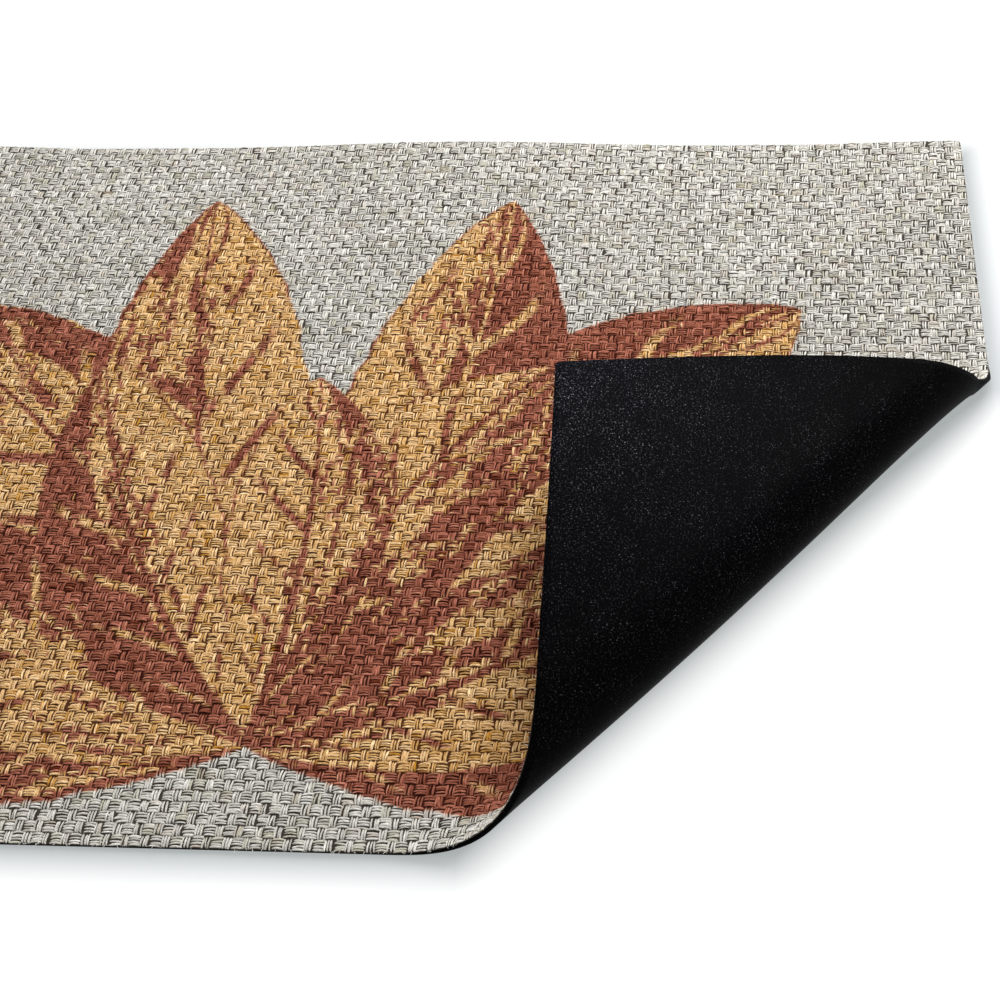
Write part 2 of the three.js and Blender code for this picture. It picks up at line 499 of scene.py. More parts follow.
@dataclass(frozen=True)
class DyedYarn:
    """Spun polyester yarn, heathered and then printed.

    Loosely twisted staple fibres give a matt, slightly fuzzy thread whose fibres catch the
    light. The print only tints the fibres, so that the heather still shows in it. A real
    fibre is about 0.02 mm wide, too fine to show, so fibres are drawn 0.24 mm wide.
    """

    ground_light: str = "#E5E2DB"
    ground_dark: str = "#B3B0A8"
    olive: str = "#B0AB93"
    pink: str = "#BFAFA3"
    brown: str = "#9F866B"
    gold_light: str = "#F0CC90"
    gold_dark: str = "#B5802B"
    rust_light: str = "#BB7658"
    rust_dark: str = "#5F2812"
    roughness: float = 0.9
    gloss: float = 0.05
    fuzz: float = 0.03
    # The colours of the painted shade in the gaps between yarns, bare and printed.
    painted_gap_shade: str = "#33261A"
    painted_dyed_gap_shade: str = "#481F01"
    gap_start: float = 0.5
    gap_shade: float = 0.95
    fibre_length: float = 2.8
    fibre_width: float = 0.24
    bare_fibres: tuple[float, float] = (0.44, 1.42)
    dyed_fibres: tuple[tuple[float, float], ...] = ((0.38, 1.54), (0.2, 1.76), (0.02, 2.35))
    fibre_range: tuple[float, float] = (0.3, 0.7)
    # Painted highlight along the crests of the yarns.
    crest_light: float = 1.14
    crest_end: float = 0.5
    ply_pitch: float = 1.1
    ply_turn: float = math.radians(35)
    bump: float = 0.5
    bump_height: float = 0.2 * MM

    def material(self, name: str) -> bpy.types.Material:
        """Build the material.

        Args:
            name: name of the material.

        Returns:
            The material.
        """
        material = bpy.data.materials.new(name)
        n = Nodes(material)

        # The heathered ground, with the print over it.
        dye = n.add("ShaderNodeSeparateColor", {0: n.add("ShaderNodeAttribute", attribute_name=DYE)})
        paint, rust, tone = dye.outputs
        slub = n.add("ShaderNodeSeparateColor", {0: n.add("ShaderNodeAttribute", attribute_name=SLUB)})
        heather = {0: tone, 6: self.ground_dark, 7: self.ground_light}
        colour = n.add("ShaderNodeMix", heather, data_type="RGBA")
        for share, tint in zip(slub.outputs, (self.olive, self.pink, self.brown)):
            colour = n.add("ShaderNodeMix", {0: share, 6: colour, 7: tint}, data_type="RGBA")
        gold = n.add("ShaderNodeMix", {0: tone, 6: self.gold_dark, 7: self.gold_light}, data_type="RGBA")
        rusty = n.add("ShaderNodeMix", {0: tone, 6: self.rust_dark, 7: self.rust_light}, data_type="RGBA")
        printed = n.add("ShaderNodeMix", {0: rust, 6: gold, 7: rusty}, data_type="RGBA")
        colour = n.add("ShaderNodeMix", {0: paint, 6: colour, 7: printed}, data_type="RGBA")

        # Single fibres, lighter and darker at random, partly their own tone and partly painted light and
        # shade of fibres too fine to model; under the print the dark ones are more saturated and the light
        # ones paler, where the dye covers them less.
        place = n.add("ShaderNodeUVMap", uv_map=YARN_UV)
        fibre = (1 / self.fibre_length, 1 / self.fibre_width, 1.0)
        stretched = n.add("ShaderNodeMapping", {0: place, "Scale": fibre})
        fibres = n.add("ShaderNodeTexNoise", {"Vector": stretched, "Scale": 1.0, "Detail": 2.0})
        bare = self._fibre_light(n, fibres, (self.bare_fibres,) * 3)
        dyed = self._fibre_light(n, fibres, self.dyed_fibres)
        fibre_light = n.add("ShaderNodeMix", {0: paint, 6: bare, 7: dyed}, data_type="RGBA")

        # Painted light and shade: the crests of the yarns are painted lighter and the gaps between them
        # painted dark, as light falls on them.
        shade_depth = n.add("ShaderNodeAttribute", attribute_name=SHADE_DEPTH).outputs["Fac"]
        rising = {0: shade_depth, 1: 0.0, 2: self.crest_end, 3: self.crest_light, 4: 1.0}
        crest = n.add("ShaderNodeMapRange", rising)
        crests = n.add("ShaderNodeCombineColor", {0: crest, 1: crest, 2: crest})
        painted_gap_shade = n.add("ShaderNodeMapRange", {0: shade_depth, 1: self.gap_start, 2: 1.0, 4: self.gap_shade})
        painted_gap_shade_colour = n.add("ShaderNodeMix", {0: paint, 6: self.painted_gap_shade, 7: self.painted_dyed_gap_shade}, data_type="RGBA")
        for share, shade in ((1.0, fibre_light), (1.0, crests), (painted_gap_shade, painted_gap_shade_colour)):
            lit = {0: share, 6: colour, 7: shade}
            colour = n.add("ShaderNodeMix", lit, data_type="RGBA", blend_type="MULTIPLY")

        # The twisted plies and their fibres stand out a little.
        turned = n.add("ShaderNodeMapping", {0: place, "Rotation": (0.0, 0.0, self.ply_turn)})
        ply = n.add("ShaderNodeTexWave", {"Vector": turned, "Scale": WAVE_REPEAT / self.ply_pitch})
        relief = n.add("ShaderNodeMath", {0: ply.outputs["Fac"], 1: fibres}, operation="ADD")
        raised = {"Height": relief, "Strength": self.bump, "Distance": self.bump_height}
        thread = {
            "Base Color": colour,
            "Roughness": self.roughness,
            "Specular IOR Level": self.gloss,
            "Sheen Weight": self.fuzz,
            "Sheen Roughness": 0.5,
            "Normal": n.add("ShaderNodeBump", raised),
        }
        n.add("ShaderNodeOutputMaterial", {"Surface": n.add("ShaderNodeBsdfPrincipled", thread)})
        return material

    def _fibre_light(
        self, n: Nodes, fibres: bpy.types.Node, ranges: tuple[tuple[float, float], ...]
    ) -> bpy.types.Node:
        """Turn the fibres' noise into a shade that the yarn's colour is multiplied with.

        Args:
            n: the material's nodes.
            fibres: the noise that stands for single fibres.
            ranges: for red, green and blue, the shade of the darkest and the lightest fibre.

        Returns:
            The node that gives the shade.
        """
        shades = {}
        low, high = self.fibre_range
        for channel, (darkest, lightest) in enumerate(ranges):
            span = {0: fibres, 1: low, 2: high, 3: darkest, 4: lightest}
            shades[channel] = n.add("ShaderNodeMapRange", span)
        return n.add("ShaderNodeCombineColor", shades)


@dataclass(frozen=True)
class SheetRubber:
    """Calendered black rubber sheet, pressed against a cloth belt while it cured.

    It is matt and nearly black, with a fine pimpled grain. The tops of the grain are
    dusty and catch the light as small grey specks, a few of them bright. Towards the
    corners the specks grow and the black between them is painted lighter and bluish,
    a painted sheen. The real grain is about 0.3 mm, too fine to show, so it is drawn 0.9 mm wide.
    """

    clean: str = "#010101"
    painted_sheen: str = "#0C0C10"
    dust_and_sheen: str = "#8E8E94"
    gloss: float = 0.01
    roughness: float = 0.5
    grain: float = 0.9
    dusty_tops: tuple[float, float] = (0.56, 1.0)
    spark_pitch: float = 1.15
    spark_size: tuple[float, float] = (0.08, 0.3)
    spark_share: float = 0.3
    spark_light: float = 1.4
    patch: float = 22.0
    patchy: tuple[float, float] = (0.45, 1.35)
    dust_and_sheen_floor: float = 0.07
    dust_and_sheen_reach: float = 90.0
    bump: float = 0.4
    bump_height: float = 0.3 * MM

    def dusted_and_sheened(self, x: np.ndarray, y: np.ndarray, shape: MatShape) -> np.ndarray:
        """Work out how dusty the rubber is.

        Args:
            x: places along the cut mat.
            y: places across the cut mat.
            shape: the mat's size, for its corners.

        Returns:
            How dusty each place is and how strong its painted sheen, 1 at a corner and less away from it.
        """
        # Painted sheen, and more specks, towards each corner of the cut mat.
        nearest = np.hypot(np.minimum(-x, x + shape.length), np.minimum(y, shape.depth - y))
        corner_sheen_and_dust = np.exp(-((nearest / self.dust_and_sheen_reach) ** 1.3))
        return self.dust_and_sheen_floor + (1.0 - self.dust_and_sheen_floor) * corner_sheen_and_dust

    def material(self, name: str) -> bpy.types.Material:
        """Build the material.

        Args:
            name: name of the material.

        Returns:
            The material.
        """
        material = bpy.data.materials.new(name)
        n = Nodes(material)

        # The tops of the grain, and the few bright specks among them.
        place = n.add("ShaderNodeUVMap", uv_map=PLAN_UV)
        scaled = n.add("ShaderNodeVectorMath", {0: place, "Scale": 1 / MM}, operation="SCALE")
        grain = n.add("ShaderNodeTexNoise", {"Vector": scaled, "Scale": 1 / self.grain, "Detail": 3.0})
        low, high = self.dusty_tops
        tops = n.add("ShaderNodeMapRange", {0: grain, 1: low, 2: high})
        sparks = n.add("ShaderNodeTexVoronoi", {"Vector": scaled, "Scale": 1 / self.spark_pitch})
        core, rim = self.spark_size
        round_spark = {0: sparks.outputs["Distance"], 1: core, 2: rim, 3: 1.0, 4: 0.0}
        middle = n.add("ShaderNodeMapRange", round_spark)
        pick = n.add("ShaderNodeSeparateColor", {0: sparks.outputs["Color"]})
        few = {0: pick.outputs["Red"], 1: 1 - self.spark_share, 2: 1.0, 4: self.spark_light}
        bright = n.add("ShaderNodeMapRange", few)
        spark = n.add("ShaderNodeMath", {0: middle, 1: bright}, operation="MULTIPLY")
        specks = n.add("ShaderNodeMath", {0: tops, 1: spark}, operation="ADD")

        # Dust lies on them in patches. Towards the corners the specks grow and the black is painted lighter
        # and bluish, a painted sheen.
        cloud = n.add("ShaderNodeTexNoise", {"Vector": scaled, "Scale": 1 / self.patch})
        least, most = self.patchy
        patches = n.add("ShaderNodeMapRange", {0: cloud, 1: 0.35, 2: 0.65, 3: least, 4: most})
        corner_sheen_and_dust = n.add("ShaderNodeAttribute", attribute_name=DUST_AND_SHEEN).outputs["Fac"]
        dust_and_sheen = n.add("ShaderNodeMath", {0: patches, 1: corner_sheen_and_dust}, operation="MULTIPLY")
        # Painted sheen: the black is painted lighter and bluish towards the corners.
        sheened_black = n.add("ShaderNodeMix", {0: corner_sheen_and_dust, 6: self.clean, 7: self.painted_sheen}, data_type="RGBA")
        dusted_and_sheened = n.add("ShaderNodeMath", {0: specks, 1: dust_and_sheen}, operation="MULTIPLY")
        raised = {"Height": grain, "Strength": self.bump, "Distance": self.bump_height}
        sheet = {
            "Base Color": n.add("ShaderNodeMix", {0: dusted_and_sheened, 6: sheened_black, 7: self.dust_and_sheen}, data_type="RGBA"),
            "Roughness": self.roughness,
            "Specular IOR Level": self.gloss,
            "Normal": n.add("ShaderNodeBump", raised),
        }
        n.add("ShaderNodeOutputMaterial", {"Surface": n.add("ShaderNodeBsdfPrincipled", sheet)})
        return material


def new_object(name: str, mesh: bpy.types.Mesh, material: bpy.types.Material) -> bpy.types.Object:
    """Put a mesh into the scene.

    Args:
        name: name of the piece.
        mesh: its mesh, already in place.
        material: its finish.

    Returns:
        The new object.
    """
    mesh.materials.append(material)
    mesh.shade_smooth()
    piece = bpy.data.objects.new(name, mesh)
    bpy.context.scene.collection.objects.link(piece)
    return piece


def write_uv(mesh: bpy.types.Mesh, name: str, places: np.ndarray) -> None:
    """Write one place a vertex into a UV map.

    Args:
        mesh: the mesh.
        name: name of the new map.
        places: the vertices' places on the map.
    """
    corners = np.empty(len(mesh.loops), dtype=np.int32)
    mesh.loops.foreach_get("vertex_index", corners)
    layer = mesh.uv_layers.new(name=name)
    layer.data.foreach_set("uv", places[corners].astype(np.float32).ravel())


def write_colour(mesh: bpy.types.Mesh, name: str, values: list[np.ndarray]) -> None:
    """Write three values a vertex into a colour attribute.

    Args:
        mesh: the mesh.
        name: name of the new attribute.
        values: the vertices' red, green and blue.
    """
    layer = mesh.attributes.new(name, "FLOAT_COLOR", "POINT")
    colours = np.stack([*values, np.ones_like(values[0])], axis=-1)
    layer.data.foreach_set("color", colours.astype(np.float32).ravel())


def write_value(mesh: bpy.types.Mesh, name: str, values: np.ndarray) -> None:
    """Write one value a vertex into an attribute."""
    layer = mesh.attributes.new(name, "FLOAT", "POINT")
    layer.data.foreach_set("value", values.astype(np.float32))


def strip(faces_along: int, faces_across: int) -> tuple[np.ndarray, np.ndarray]:
    """Make a flat strip to shape yarns and fibres from.

    Args:
        faces_along: number of faces along it.
        faces_across: number of faces across it.

    Returns:
        Its vertices, as places along it from -0.5 to 0.5 and across it from -1 to 1, and
        the corners of its faces.
    """
    bm = bmesh.new()
    bmesh.ops.create_grid(bm, x_segments=faces_along, y_segments=faces_across, size=1.0)
    places = np.array([[v.co.x / 2, v.co.y] for v in bm.verts])
    faces = np.array([[v.index for v in f.verts] for f in bm.faces])
    bm.free()
    return places, faces


def repeated_mesh(name: str, places: np.ndarray, faces: np.ndarray, stride: int) -> bpy.types.Mesh:
    """Join many copies of one strip, already in place, into one mesh.

    Args:
        name: name of the mesh.
        places: the vertices of all copies, one copy after the other.
        faces: the four corners of each face of one copy.
        stride: number of vertices in one copy.

    Returns:
        The mesh.
    """
    starts = np.arange(len(places) // stride) * stride
    corners = (faces[None, :, :] + starts[:, None, None]).ravel()
    mesh = bpy.data.meshes.new(name)
    mesh.vertices.add(len(places))
    mesh.vertices.foreach_set("co", places.astype(np.float32).ravel())
    mesh.loops.add(len(corners))
    mesh.loops.foreach_set("vertex_index", corners.astype(np.int32))
    mesh.polygons.add(len(corners) // 4)
    mesh.polygons.foreach_set("loop_start", np.arange(0, len(corners), 4, dtype=np.int32))
    mesh.update(calc_edges=True)
    return mesh


@dataclass
class Layer:
    """One closed sheet of the mat, from its lower to its upper face."""

    name: str
    bottom: float
    top: float
    facet: float = 3.5
    corner_radius: float = 2.5

    def build(self, mat: LyingMat) -> tuple[bpy.types.Mesh, np.ndarray]:
        """Cut the sheet out flat, give it its thickness and bend it.

        Args:
            mat: how the mat lies.

        Returns:
            The mesh, and its vertices' places on the flat mat.
        """
        shape = mat.shape
        bm = bmesh.new()
        columns, rows = round(shape.length / self.facet), round(shape.depth / self.facet)
        size = Matrix.Diagonal((shape.length, shape.depth, 1.0, 1.0))
        middle = Matrix.Translation((-shape.length / 2, shape.depth / 2, self.bottom))
        bmesh.ops.create_grid(bm, x_segments=columns, y_segments=rows, size=0.5, matrix=middle @ size)
        corners = [v for v in bm.verts if len(v.link_edges) == 2]
        bmesh.ops.bevel(
            bm,
            geom=corners,
            offset=self.corner_radius,
            segments=3,
            profile=0.5,
            affect="VERTICES",
            material=-1,
        )
        raised = bmesh.ops.extrude_face_region(bm, geom=bm.faces[:])
        tops = [v for v in raised["geom"] if isinstance(v, bmesh.types.BMVert)]
        bmesh.ops.translate(bm, verts=tops, vec=(0.0, 0.0, self.top - self.bottom))
        bmesh.ops.recalc_face_normals(bm, faces=bm.faces[:])
        mesh = bpy.data.meshes.new(self.name)
        bm.to_mesh(mesh)
        bm.free()
        flat = np.empty(len(mesh.vertices) * 3)
        mesh.vertices.foreach_get("co", flat)
        flat = flat.reshape(-1, 3)
        write_uv(mesh, PLAN_UV, flat[:, :2] * MM)
        mesh.vertices.foreach_set("co", mat.placed(flat[:, 0], flat[:, 1], flat[:, 2]).ravel())
        mesh.update()
        return mesh, flat


@dataclass
class RubberBacking:
    """The thin rubber sheet under the cloth."""

    finish: SheetRubber = field(default_factory=SheetRubber)

    def build(self, mat: LyingMat) -> bpy.types.Object:
        """Make the sheet and put it in place of its solid.

        Args:
            mat: how the mat lies.

        Returns:
            The sheet.
        """
        half = mat.shape.thickness / 2
        layer = Layer("rubber_sheet", bottom=-half, top=mat.shape.rubber - half)
        mesh, flat = layer.build(mat)
        write_value(mesh, DUST_AND_SHEEN, self.finish.dusted_and_sheened(flat[:, 0], flat[:, 1], mat.shape))
        piece = new_object(layer.name, mesh, self.finish.material("black_sheet_rubber"))
        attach(piece, "root")
        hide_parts("rubber_backing")
        return piece


@dataclass
class CutEdgeFray:
    """Loose fibres that stand out of the cloth's cut edge, all round the mat."""

    count: int = 700
    length: float = 2.3
    width: float = 0.13
    shortest: float = 0.3
    taper: float = 0.7
    tone: float = 0.8
    stray_heading: float = 38.0
    stray_bend: float = 0.5
    yarn: DyedYarn = field(default_factory=DyedYarn)

    def build(self, mat: LyingMat) -> bpy.types.Object:
        """Make the fibres and join them to the cloth.

        Args:
            mat: how the mat lies.

        Returns:
            The fibres, as one piece.
        """
        shape = mat.shape
        draw = np.random.default_rng(77)
        lap = draw.uniform(0.0, 2 * (shape.length + shape.depth), self.count)
        ends = np.cumsum([shape.length, shape.depth, shape.length, shape.depth])
        edge = np.searchsorted(ends, lap)
        run = lap - np.concatenate([[0.0], ends])[edge]
        root_x = np.choose(edge, [-run, np.full_like(run, -shape.length), run - shape.length, 0 * run])
        root_y = np.choose(edge, [0 * run, run, np.full_like(run, shape.depth), shape.depth - run])
        stray = draw.normal(0.0, self.stray_heading, self.count)
        outward = np.choose(edge, [-90.0, 180.0, 90.0, 0.0]) + stray
        heading = np.radians(outward)[:, None]
        length = (self.length * draw.uniform(self.shortest, 1.0, self.count) ** 1.5)[:, None]
        bend = draw.normal(0.0, self.stray_bend, (self.count, 1))

        places, faces = strip(3, 1)
        s, w = places[:, 0] + 0.5, places[:, 1]
        along = s[None, :] * length - 0.5
        across = bend * length * s[None, :] ** 2 + w[None, :] * self.width * (1 - self.taper * s[None, :])
        x = root_x[:, None] + along * np.cos(heading) - across * np.sin(heading)
        y = root_y[:, None] + along * np.sin(heading) + across * np.cos(heading)
        start = shape.thickness / 2 + draw.uniform(-1.0, 0.0, (self.count, 1))
        height = start + draw.uniform(-0.6, 0.5, (self.count, 1)) * s[None, :]

        name = "edge_fray"
        mesh = repeated_mesh(name, mat.placed(x.ravel(), y.ravel(), height.ravel()), faces, len(s))
        bare = np.zeros(x.size)
        write_colour(mesh, DYE, [bare, bare, bare + self.tone])
        write_colour(mesh, SLUB, [bare, bare, bare])
        write_value(mesh, SHADE_DEPTH, bare)
        write_uv(mesh, YARN_UV, np.stack([x.ravel(), y.ravel()], axis=-1))
        return new_object(name, mesh, self.yarn.material("loose_fibre"))


@dataclass(frozen=True)
class YarnSet:
    """The yarns of one way, where a block of them comes to the top, in millimetres and radians.

    Reach and bundle width are shares of a block. Each stray value is one standard deviation.
    """

    way: Way
    pieces: int
    strands: int
    reach: float
    bundle_width: float
    lean: float
    bow: float
    end_shade: float
    stray_length: float
    stray_across: float
    stray_along: float
    stray_lean: float
    stray_bow: float

    @property
    def is_weft(self) -> bool:
        """Whether the yarns run along the mat."""
        return self.way is Way.WEFT


WEFT = YarnSet(
    way=Way.WEFT,
    pieces=3,
    strands=4,
    reach=1.24,
    bundle_width=1.0,
    lean=0.0,
    bow=0.3,
    end_shade=0.6,
    stray_length=0.07,
    stray_across=0.12,
    stray_along=0.24,
    stray_lean=0.05,
    stray_bow=0.12,
)
WARP = YarnSet(
    way=Way.WARP,
    pieces=2,
    strands=3,
    reach=1.08,
    bundle_width=0.86,
    lean=math.radians(85.5),
    bow=0.32,
    end_shade=0.95,
    stray_length=0.05,
    stray_across=0.16,
    stray_along=0.18,
    stray_lean=0.07,
    stray_bow=0.14,
)


@dataclass(frozen=True)
class LaidYarns:
    """Where the yarns of one piece lie on the flat mat, a row for each yarn."""

    strand: np.ndarray
    place: np.ndarray
    along: np.ndarray
    width: np.ndarray
    x: np.ndarray
    y: np.ndarray
    height: np.ndarray


@dataclass
class WovenFace:
    """The basket-weave cloth: a thin ground, and every yarn where it comes to the top.

    Blocks of yarns that run along the mat and blocks that run across it take turns, like
    the squares of a chessboard.
    """

    blocks_along: int = 146
    blocks_across: int = 83
    block_shift: tuple[float, float] = (0.34, 0.13)
    ground_top: float = -1.0
    float_end: float = -0.82
    relief: float = 0.93
    flank: float = 0.85
    strand_width: float = 0.93
    uneven: float = 0.14
    width_limits: tuple[float, float] = (0.6, 1.3)
    rise_limits: tuple[float, float] = (0.6, 1.4)
    end_taper: float = 0.3
    arch_fullness: float = 0.6
    crowding: float = 0.6
    tone_length: float = 26.0
    slow_tone: float = 0.45
    stray_tone: float = 0.15
    stray_catch: float = 0.05
    gap_shade_width: float = 1.2
    gap_shade_draw: tuple[float, float] = (1.7, 0.8)
    scatter: float = 50.0
    tint_length: float = 9.0
    tint_strands: float = 2.4
    tints: tuple[tuple[int, float, float], ...] = ((31, 0.6, 0.75), (33, 0.68, 0.45), (35, 0.88, 0.6))
    yarn: DyedYarn = field(default_factory=DyedYarn)
    print_pattern: LeafPrint = field(default_factory=LeafPrint)
    fray: CutEdgeFray = field(default_factory=CutEdgeFray)

    def build(self, mat: LyingMat) -> list[bpy.types.Object]:
        """Make the ground and the yarns and put them in place of the cloth's solid.

        Args:
            mat: how the mat lies.

        Returns:
            The ground, then the pieces of yarn and the loose fibres.
        """
        top_yarn = self.yarn.material("printed_heather_yarn")
        ground = self._ground(mat, top_yarn)
        pieces = []
        for yarns in (WEFT, WARP):
            bands = np.array_split(np.arange(self.blocks_along), yarns.pieces)
            for number, band in enumerate(bands):
                name = f"{yarns.way.value}_yarns_{number + 1}"
                pieces.append(self._yarns(mat, yarns, band, name, top_yarn))
        pieces.append(self.fray.build(mat))
        for piece in (ground, *pieces):
            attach(piece, "root")
            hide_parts("woven_face")
        return [ground, *pieces]

    def _ground(self, mat: LyingMat, material: bpy.types.Material) -> bpy.types.Object:
        """Make the cloth's ground, where the yarns lie under one another.

        Args:
            mat: how the mat lies.
            material: the yarns' finish.

        Returns:
            The ground.
        """
        half = mat.shape.thickness / 2
        layer = Layer("cloth_ground", bottom=half - mat.shape.cloth, top=half + self.ground_top)
        mesh, flat = layer.build(mat)
        paint, rust = self.print_pattern.painted(flat[:, 0], flat[:, 1])
        write_colour(mesh, DYE, [paint, rust, np.full_like(rust, 0.5)])
        write_colour(mesh, SLUB, [np.zeros_like(rust)] * 3)
        # Painted shade: the whole ground is painted as dark as the darkest shade between the yarns.
        write_value(mesh, SHADE_DEPTH, np.ones_like(rust))
        write_uv(mesh, YARN_UV, flat[:, :2])
        return new_object(layer.name, mesh, material)

    def _yarns(
        self, mat: LyingMat, yarns: YarnSet, band: np.ndarray, name: str, material: bpy.types.Material
    ) -> bpy.types.Object:
        """Make all yarns of one way, in one band of the mat, where they come to the top.

        Args:
            mat: how the mat lies.
            yarns: the yarns of that way.
            band: the blocks' numbers along the mat.
            name: name of the piece.
            material: the yarns' finish.

        Returns:
            The yarns, as one piece.
        """
        draw = np.random.default_rng([11, int(yarns.is_weft), int(band[0])])
        places, faces = strip(4, 2)
        # The strip's vertices crowd towards a yarn's ends, where it bends down.
        s = np.sign(places[:, 0]) * 0.5 * np.abs(2 * places[:, 0]) ** self.crowding
        w = places[:, 1]
        laid = self._laid(mat.shape, yarns, band, s, w, draw)
        bent = mat.placed(laid.x.ravel(), laid.y.ravel(), laid.height.ravel())
        mesh = repeated_mesh(name, bent, faces, len(s))
        self._dye(mesh, yarns, laid, s, w, draw)
        return new_object(name, mesh, material)

    def _laid(
        self,
        shape: MatShape,
        yarns: YarnSet,
        band: np.ndarray,
        s: np.ndarray,
        w: np.ndarray,
        draw: np.random.Generator,
    ) -> LaidYarns:
        """Lay the yarns side by side in their blocks, each bowed, arched and a little astray.

        Args:
            shape: the mat's size.
            yarns: the yarns of one way.
            band: the blocks' numbers along the mat.
            s: places of the strip's vertices along a yarn, from -0.5 to 0.5.
            w: their places across it, from -1 to 1.
            draw: the source of the random values.

        Returns:
            The yarns on the flat mat.
        """
        block = (shape.length / self.blocks_along, shape.depth / self.blocks_across)
        run, side = (0, 1) if yarns.is_weft else (1, 0)
        numbers = np.meshgrid(
            band, np.arange(self.blocks_across), np.arange(yarns.strands), indexing="ij"
        )
        on_top = (numbers[0] + numbers[1]) % 2 == run
        i, j, k = (number[on_top] for number in numbers)
        count = len(i)
        shifts = np.random.default_rng([7, int(yarns.is_weft)])
        shift = shifts.normal(0.0, 1.0, (2, self.blocks_along, self.blocks_across))
        centre = [
            -shape.length + (i + 0.5) * block[0] + self.block_shift[0] * shift[0][i, j],
            (j + 0.5) * block[1] + self.block_shift[1] * shift[1][i, j],
        ]
        bundle = block[side] * yarns.bundle_width
        length = block[run] * yarns.reach * draw.normal(1.0, yarns.stray_length, count)
        centre[side] += ((k + 0.5) / yarns.strands - 0.5) * bundle
        centre[side] += draw.normal(0.0, yarns.stray_across, count)
        centre[run] += draw.normal(0.0, yarns.stray_along, count)
        lean = yarns.lean + draw.normal(0.0, yarns.stray_lean, count)
        bow = yarns.bow + draw.normal(0.0, yarns.stray_bow, count)
        half_width = bundle / yarns.strands * 0.5 * self.strand_width
        width = half_width * np.clip(draw.normal(1.0, self.uneven, count), *self.width_limits)
        rise = self.relief * np.clip(draw.normal(1.0, self.uneven, count), *self.rise_limits)

        along = s[None, :] * length[:, None]
        across = w[None, :] * width[:, None] * (1.0 - self.end_taper * (2 * s[None, :]) ** 4)
        across = across + bow[:, None] * (1.0 - (2 * s[None, :]) ** 2)
        cosine, sine = np.cos(lean)[:, None], np.sin(lean)[:, None]
        x = centre[0][:, None] + along * cosine - across * sine
        y = centre[1][:, None] + along * sine + across * cosine
        arch = np.clip(np.cos(math.pi * s), 0.0, 1.0) ** self.arch_fullness
        height = shape.thickness / 2 + self.float_end + arch[None, :] * rise[:, None]
        height = height - (self.flank * np.abs(w) * (0.4 + 0.6 * arch))[None, :]
        return LaidYarns(
            strand=(i, j)[side] * yarns.strands + k,
            place=centre[run],
            along=along,
            width=width,
            x=np.clip(x, -shape.length, 0.0),
            y=np.clip(y, 0.0, shape.depth),
            height=height,
        )

    def _dye(
        self,
        mesh: bpy.types.Mesh,
        yarns: YarnSet,
        laid: LaidYarns,
        s: np.ndarray,
        w: np.ndarray,
        draw: np.random.Generator,
    ) -> None:
        """Write the heather, the print and the dark gaps into the yarns' attributes.

        Args:
            mesh: the yarns.
            yarns: the yarns of one way.
            laid: where they lie.
            s: places of the strip's vertices along a yarn, from -0.5 to 0.5.
            w: their places across it, from -1 to 1.
            draw: the source of the random values.
        """
        count = len(laid.strand)
        seed = int(yarns.is_weft)
        slow = SmoothNoise(21 + seed).along_strands(laid.strand, laid.place / self.tone_length + 64)
        tone = 0.5 + self.slow_tone * (slow - 0.5) + draw.normal(0.0, self.stray_tone, count)
        tone = np.clip(tone, 0.0, 1.0)
        catch = np.repeat(draw.normal(0.0, self.stray_catch, count), len(s))
        paint, rust = self.print_pattern.painted(laid.x.ravel(), laid.y.ravel(), catch)
        write_colour(mesh, DYE, [paint, rust, np.repeat(tone, len(s))])
        # Painted shade: each yarn is painted darker towards its sides, by a random width on each side, and
        # towards its ends, where it dives under its neighbours.
        gaps = self.gap_shade_width * draw.beta(*self.gap_shade_draw, (2, count, 1))
        sides = np.where(w[None, :] < 0, *gaps)
        shade_depth = np.maximum(np.abs(w)[None, :] * sides, yarns.end_shade * np.abs(2 * s)[None, :] ** 4)
        write_value(mesh, SHADE_DEPTH, shade_depth.ravel())
        tints = []
        for tint_seed, least, full in self.tints:
            noise = SmoothNoise(tint_seed + seed)
            tint = noise.at(laid.place / self.tint_length + 90, laid.strand / self.tint_strands)
            tint = np.clip((tint - least) / (1 - least), 0.0, 1.0) * full
            tints.append(np.repeat(tint, len(s)))
        write_colour(mesh, SLUB, tints)
        lengthwise = laid.along + draw.uniform(0.0, self.scatter, count)[:, None]
        crosswise = w[None, :] * laid.width[:, None] + draw.uniform(0.0, self.scatter, count)[:, None]
        write_uv(mesh, YARN_UV, np.stack([lengthwise.ravel(), crosswise.ravel()], axis=-1))


